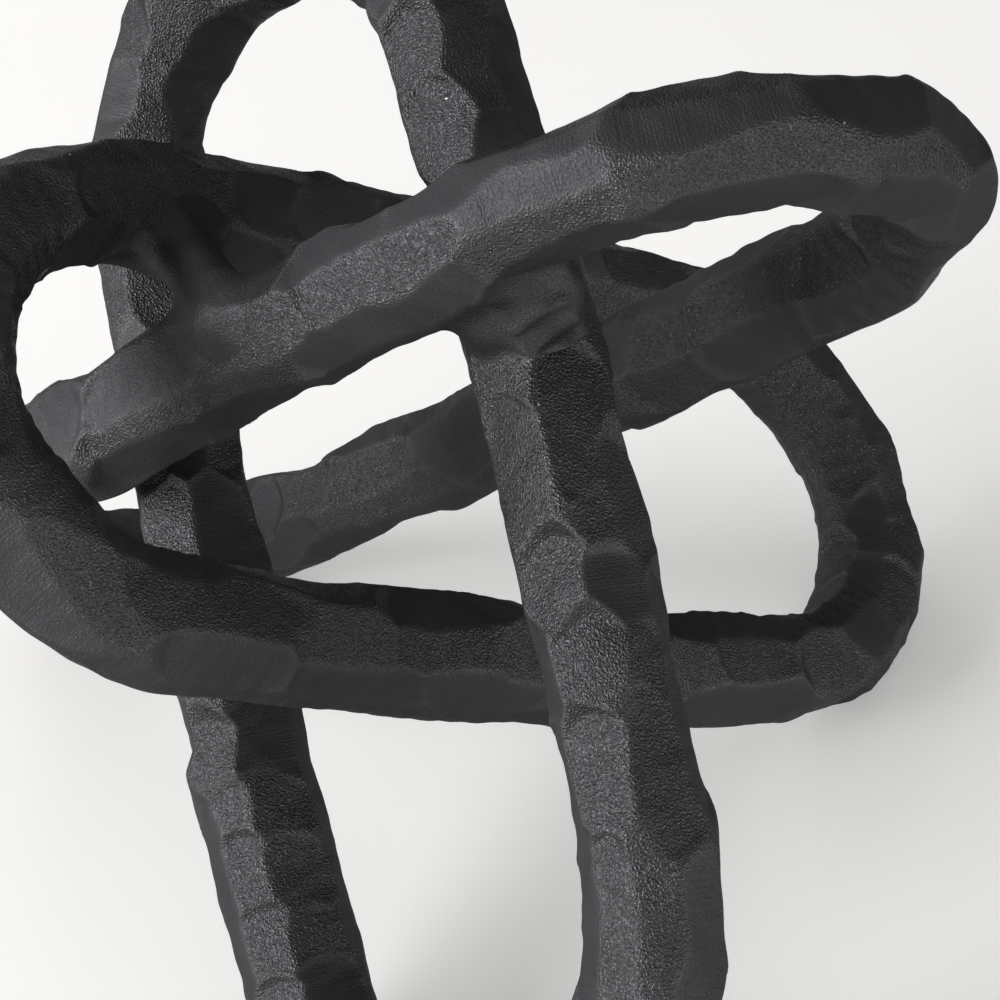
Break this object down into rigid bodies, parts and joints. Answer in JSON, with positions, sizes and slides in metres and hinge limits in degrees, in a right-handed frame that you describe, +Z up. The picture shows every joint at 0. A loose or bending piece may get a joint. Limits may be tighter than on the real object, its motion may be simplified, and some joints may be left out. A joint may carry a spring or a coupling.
{
  "type": "metal knot sculpture",
  "caption": "Free-standing ornament of linked oval rings of hammered, matte black cast metal bar, welded where they cross, resting on its lowest bends.",
  "frame": {"origin": "on the floor, under the middle of the sculpture's outer box", "axes": "+Z up; +X to the right and +Y away, seen from the front, the side that the upright ring leans to"},
  "size_m": [0.1928, 0.1982, 0.161],
  "materials": {
    "cast_metal": "matte black coat over a sand-cast, hammered surface",
    "weld_metal": "matte black coat over smooth weld"
  },
  "bodies": {
    "root": {"slanted_ring_top_half": "cast_metal", "slanted_ring_foot_half": "cast_metal", "slanted_ring_front_seam": "cast_metal", "slanted_ring_back_seam": "cast_metal", "wide_ring_top_half": "cast_metal", "wide_ring_foot_half": "cast_metal", "wide_ring_back_seam": "cast_metal", "wide_ring_front_seam": "cast_metal", "upright_ring_top_half": "cast_metal", "upright_ring_foot_half": "cast_metal", "upright_ring_right_seam": "cast_metal", "upright_ring_left_seam": "cast_metal", "shoulder_weld": "weld_metal", "slanted_to_upright_weld": "weld_metal", "wide_to_upright_weld": "weld_metal", "slanted_to_wide_bridge": "weld_metal"}
  },
  "joints": []
}
